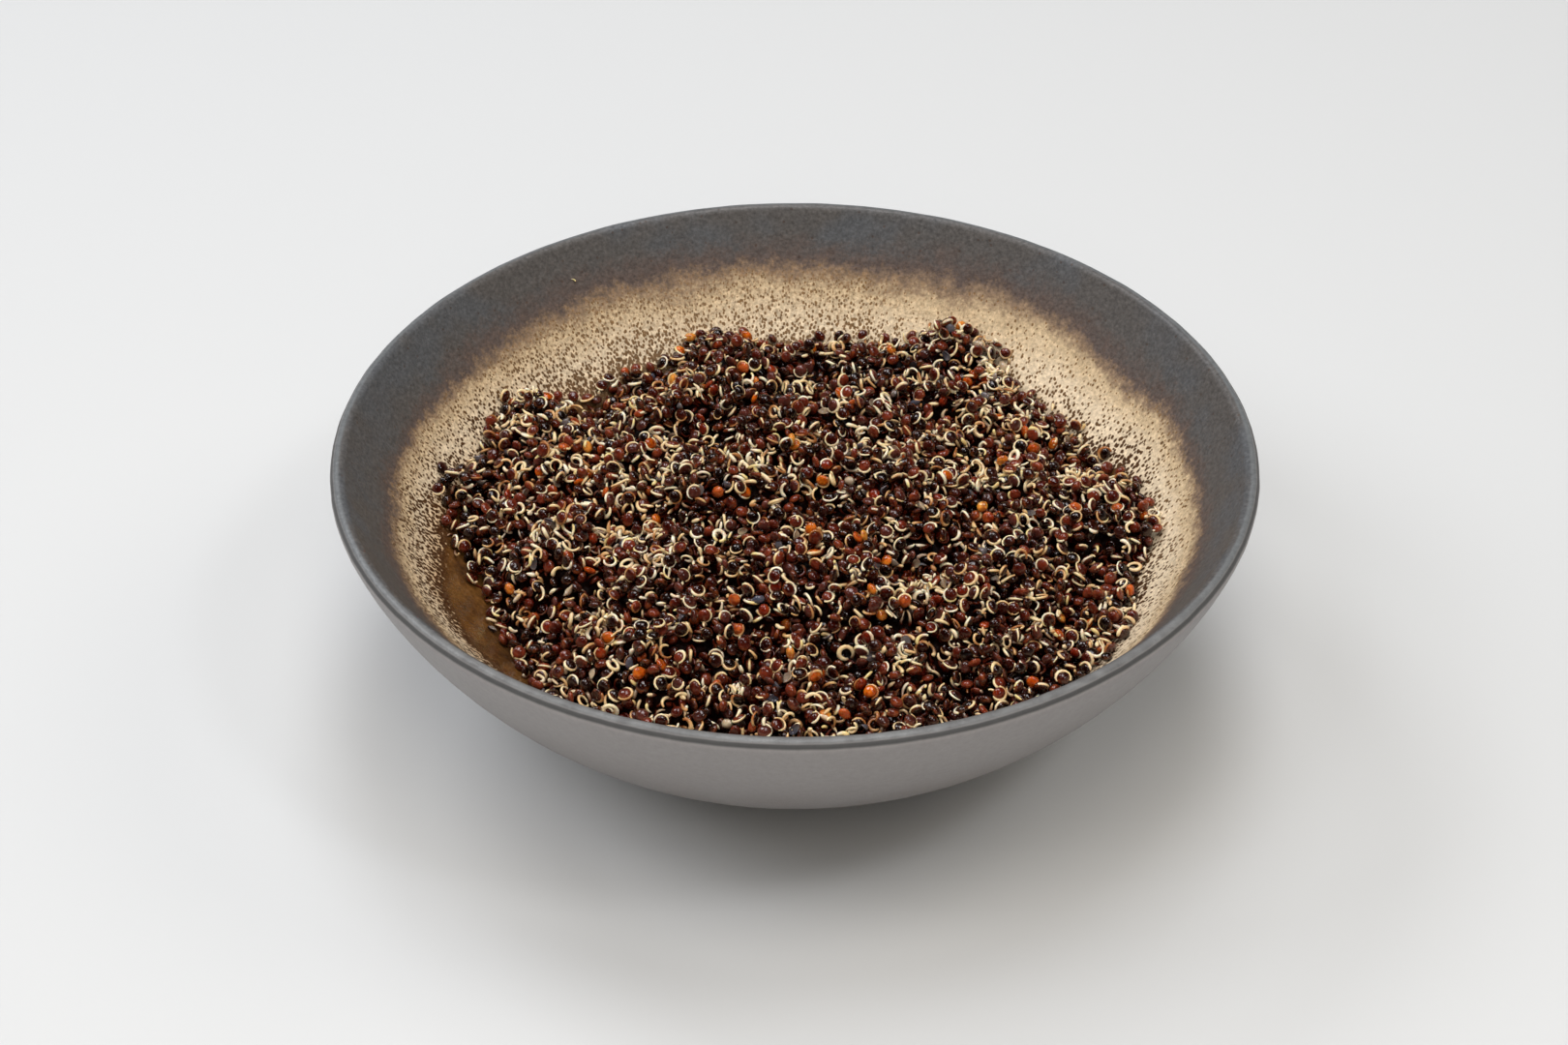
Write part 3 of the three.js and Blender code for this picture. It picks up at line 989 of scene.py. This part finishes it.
def seed_skin(name, tones, glow=0.3, roughness=0.36, mottle=0.6, rim_share=0.5):
    """Moist seed coats, darker in clouds and paler along the rim, partly the coat's colour and partly a
    painted glow of light through the thin edge.
    """
    skin = Finish(name, Specular_IOR_Level=0.2, Specular_Tint=WARM_SHEEN, Subsurface_Weight=glow,
                  Subsurface_Scale=0.8 * MM, Subsurface_Radius=SEED_GLOW_REACH,
                  Coat_Weight=1.0, Coat_Roughness=0.14, Coat_IOR=1.6)
    colour = skin.ramp(skin.attribute("tone"), tones)
    cloud = skin.between(skin.noise(1.0 * MM, 3), 0.35, 0.65)
    colour = skin.mix(skin.times(cloud, mottle), colour, skin.shade(colour, CLOUD_SHADE))
    # Paler rim, partly a painted glow of light through the thin edge.
    rim = skin.between(skin.attribute("rim"), 0.6, 1.0)
    patchy = skin.between(skin.noise(1.1 * MM, 2), 0.4, 0.65)
    colour = skin.mix(skin.times(skin.times(rim, patchy), rim_share), colour, RIM_BROWN_AND_PAINTED_GLOW)
    shine = skin.scale(skin.noise(0.8 * MM, 2), 0.35, 0.7, roughness - 0.12, roughness + 0.1)
    wrinkle = skin.bump(skin.noise(0.55 * MM, 2, 0.5), 0.07 * MM, 0.7)
    return skin.finish(Base_Color=skin.with_painted_depth_shade(colour), Roughness=shine, Normal=wrinkle, Coat_Normal=wrinkle)


def germ_skin():
    """Moist pale germs, stained brown in places."""
    skin = Finish("quinoa_germ", Specular_IOR_Level=0.5, Subsurface_Weight=0.3, Subsurface_Scale=0.4 * MM,
                  Subsurface_Radius=GERM_GLOW_REACH, Coat_Weight=0.6, Coat_Roughness=0.1)
    colour = skin.ramp(skin.attribute("tone"), GERM_TONES)
    stain = skin.between(skin.noise(1.6 * MM, 3), 0.48, 0.75)
    colour = skin.mix(skin.times(stain, 0.5), colour, GERM_STAIN)
    wrinkle = skin.noise(0.3 * MM, 2)
    return skin.finish(Base_Color=skin.with_painted_depth_shade(colour), Roughness=skin.scale(stain, 0, 1, 0.3, 0.2),
                       Normal=skin.bump(wrinkle, 0.04 * MM, 0.6))


def core_skin():
    """Nearly black, a painted shade for what shows between the grains, where seeds further down lie in
    shadow.
    """
    skin = Finish("quinoa_core", Specular_IOR_Level=0.12)
    cloud = skin.between(skin.noise(1.4 * MM, 3), 0.35, 0.65)
    colour = skin.mix(cloud, CORE_SHADE_BLACK, CORE_SHADE_BROWN)
    return skin.finish(Base_Color=colour, Roughness=skin.scale(skin.noise(MM, 2), 0, 1, 0.3, 0.6),
                       Normal=skin.bump(skin.noise(0.8 * MM, 3), 0.3 * MM, 1.0))


def floor_finish():
    skin = Finish("studio_floor", Roughness=0.85, Specular_IOR_Level=0.2)
    return skin.finish(Base_Color=skin.mix(skin.noise(0.3, 2), FLOOR_COOL, FLOOR_WARM))


# ---- heap

SEED_SIZES = (0.94, 1.14)
AMBER_SIZES = (0.98, 1.15)
SEED_SINK = 0.15 * MM
GERM_SINK = 0.13 * MM


def seed_shapes(random):
    """Ten bare seeds, and fourteen that still have their germ round them."""
    bare = [seed_shape(random) for _ in range(10)]
    hugging = [germ_shape(random, (120, 290), (0.99 * MM, 1.09 * MM), 9, 1.0, lift=(0, 0.2),
                          opening=(0, 0.12), centred=False) for _ in range(14)]
    return bare + [bare[i % len(bare)].with_germ(germ) for i, germ in enumerate(hugging)]


def grain_kinds(random):
    seeds = seed_shapes(random)
    rings = [germ_shape(random, (200, 340), (0.75 * MM, 1.1 * MM), 13, 1.05) for _ in range(12)]
    curls = [germ_shape(random, (60, 210), (0.75 * MM, 1.4 * MM), 9, 1.15) for _ in range(16)]
    ends = [germ_shape(random, (20, 60), (1.8 * MM, 3 * MM), 7, 1.35, profile=spindle_radii)
            for _ in range(12)]
    husks = [husk_shape(random) for _ in range(8)]
    return [
        Kind("black_seeds", "quinoa", 0.26, seeds, SEED_SINK, SEED_SIZES, -1),
        Kind("maroon_seeds", "quinoa", 0.28, seeds, SEED_SINK, SEED_SIZES),
        Kind("red_seeds", "red_seed", 0.034, seeds, SEED_SINK),
        Kind("amber_seeds", "amber_seed", 0.018, seeds, 0.12 * MM, AMBER_SIZES),
        Kind("germ_rings", "germ", 0.09, rings, 0.2 * MM),
        Kind("germ_curls", "germ", 0.385, curls, GERM_SINK, taste=1),
        Kind("germ_ends", "germ", 0.24, ends, GERM_SINK, taste=1),
        Kind("husks", "husk", 0.07, husks, 0.1 * MM),
    ]


def seed_skins():
    """The seeds' and husks' finishes, by the kind's name. All other kinds are germs."""
    return {
        "black_seeds": seed_skin("quinoa_black_seed", BLACK_TONES, rim_share=0.3),
        "maroon_seeds": seed_skin("quinoa_maroon_seed", MAROON_TONES, mottle=0.7),
        "red_seeds": seed_skin("quinoa_red_seed", RED_TONES, glow=0.6, mottle=0.8),
        "amber_seeds": seed_skin("quinoa_amber_seed", AMBER_TONES, glow=0.7, mottle=0.8, rim_share=0.3),
        "husks": seed_skin("quinoa_husk", HUSK_TONES, glow=0.2, roughness=0.3, mottle=0.3, rim_share=0.0),
    }


def make_heap():
    random = np.random.default_rng(GRAIN_SEED)
    heap = Heap(random)
    make_core(heap, core_skin())
    kinds = {kind.name: kind for kind in grain_kinds(random)}
    hugs = Kind("germ_hugs", "germ")
    settle(heap, list(kinds.values()), hugs, random)
    skins, germ = seed_skins(), germ_skin()
    for kind in [*kinds.values(), hugs]:
        join_grains(kind.name, kind.placed, skins.get(kind.name, germ), heap)
    crumb = kinds["germ_curls"].shapes[0]
    join_grains("loose_crumb", [(crumb, CRUMB_SCALE * np.eye(3), crumb_place(), 1.0)], germ, heap)


def crumb_place():
    """Where a small curl sticks to the inner wall, left of the heap's back."""
    turn = math.radians(CRUMB_ANGLE)
    return np.array([CRUMB_RADIUS * math.cos(turn), CRUMB_RADIUS * math.sin(turn),
                     wall_height(CRUMB_RADIUS) + CRUMB_CLEARANCE])


# ---- stage

FLOOR_SIDE = 6.0
FLOOR_COOL = linear(213, 214, 214)
FLOOR_WARM = linear(216, 216, 215)
CAMERA_PLACE = (-0.00184, -0.4373, 0.3642)
CAMERA_TILT = 0.6465
CAMERA_LENS = 71.4
CAMERA_SENSOR = 36

LIGHT_DISTANCE = 1.3
# Azimuth and elevation in degrees, diameter, and watts. Only the bright lights show as reflections.
FILL_LIGHTS = {
    "fill_front": (-90, 42, 0.6, 2.8),
    "fill_front_high": (-90, 68, 0.6, 4.4),
    "fill_left": (180, 42, 0.6, 3.4),
    "fill_left_front": (-140, 52, 0.6, 2.1),
    "fill_right": (5, 45, 0.6, 2.6),
}
BRIGHT_LIGHTS = {
    "bright_back_left": (135, 48, 0.45, 3.2),
    "bright_back": (90, 66, 0.45, 1.9),
    "bright_overhead": (60, 84, 0.5, 3.4),
    "bright_left_front": (-140, 58, 0.18, 0.3),
    "bright_right_front": (-40, 55, 0.18, 1.4),
}
AMBIENT = 0.1
WARM_LIGHTS = ("fill_front", "fill_front_high", "fill_right")
WARM_TINT = (1.0, 0.945, 0.86)
SKY_TINT = (0.975, 1.0, 1.05)


def add_light(name, azimuth, elevation, size, watts, in_reflections):
    data = bpy.data.lights.new(name, "AREA")
    data.shape, data.size, data.energy = "DISK", size, watts
    data.color = WARM_TINT if name in WARM_LIGHTS else SKY_TINT
    lamp = bpy.data.objects.new(name, data)
    lamp.visible_glossy = in_reflections
    turn, rise = math.radians(azimuth), math.radians(elevation)
    direction = Vector((math.cos(rise) * math.cos(turn), math.cos(rise) * math.sin(turn), math.sin(rise)))
    lamp.location = direction * LIGHT_DISTANCE
    lamp.rotation_euler = direction.to_track_quat("Z", "Y").to_euler()
    bpy.context.scene.collection.objects.link(lamp)


def make_floor():
    mesh = bpy.data.meshes.new("floor")
    half = FLOOR_SIDE / 2
    corners = [(-half, -half, 0), (half, -half, 0), (half, half, 0), (-half, half, 0)]
    mesh.from_pydata(corners, [], [(0, 1, 2, 3)])
    mesh.materials.append(floor_finish())
    floor = bpy.data.objects.new("floor", mesh)
    bpy.context.scene.collection.objects.link(floor)


def make_world():
    """A faint even light that doesn't show as a reflection."""
    world = bpy.data.worlds.new("studio")
    bpy.context.scene.world = world
    world.use_nodes = True
    background = world.node_tree.nodes["Background"]
    background.inputs["Color"].default_value = grey(1.0)
    background.inputs["Strength"].default_value = AMBIENT
    world.cycles_visibility.glossy = False


def make_camera():
    camera = bpy.data.cameras.new("camera")
    camera.lens = CAMERA_LENS
    camera.sensor_width = CAMERA_SENSOR
    eye = bpy.data.objects.new("camera", camera)
    eye.location = CAMERA_PLACE
    eye.rotation_euler = (math.pi / 2 - CAMERA_TILT, 0, 0)
    bpy.context.scene.collection.objects.link(eye)
    bpy.context.scene.camera = eye


def make_stage():
    make_floor()
    make_world()
    for name, light in (FILL_LIGHTS | BRIGHT_LIGHTS).items():
        add_light(name, *light, name in BRIGHT_LIGHTS)
    bpy.context.scene.view_settings.view_transform = "Standard"
    make_camera()


make_stage()
make_bowl(bowl_glaze())
make_heap()
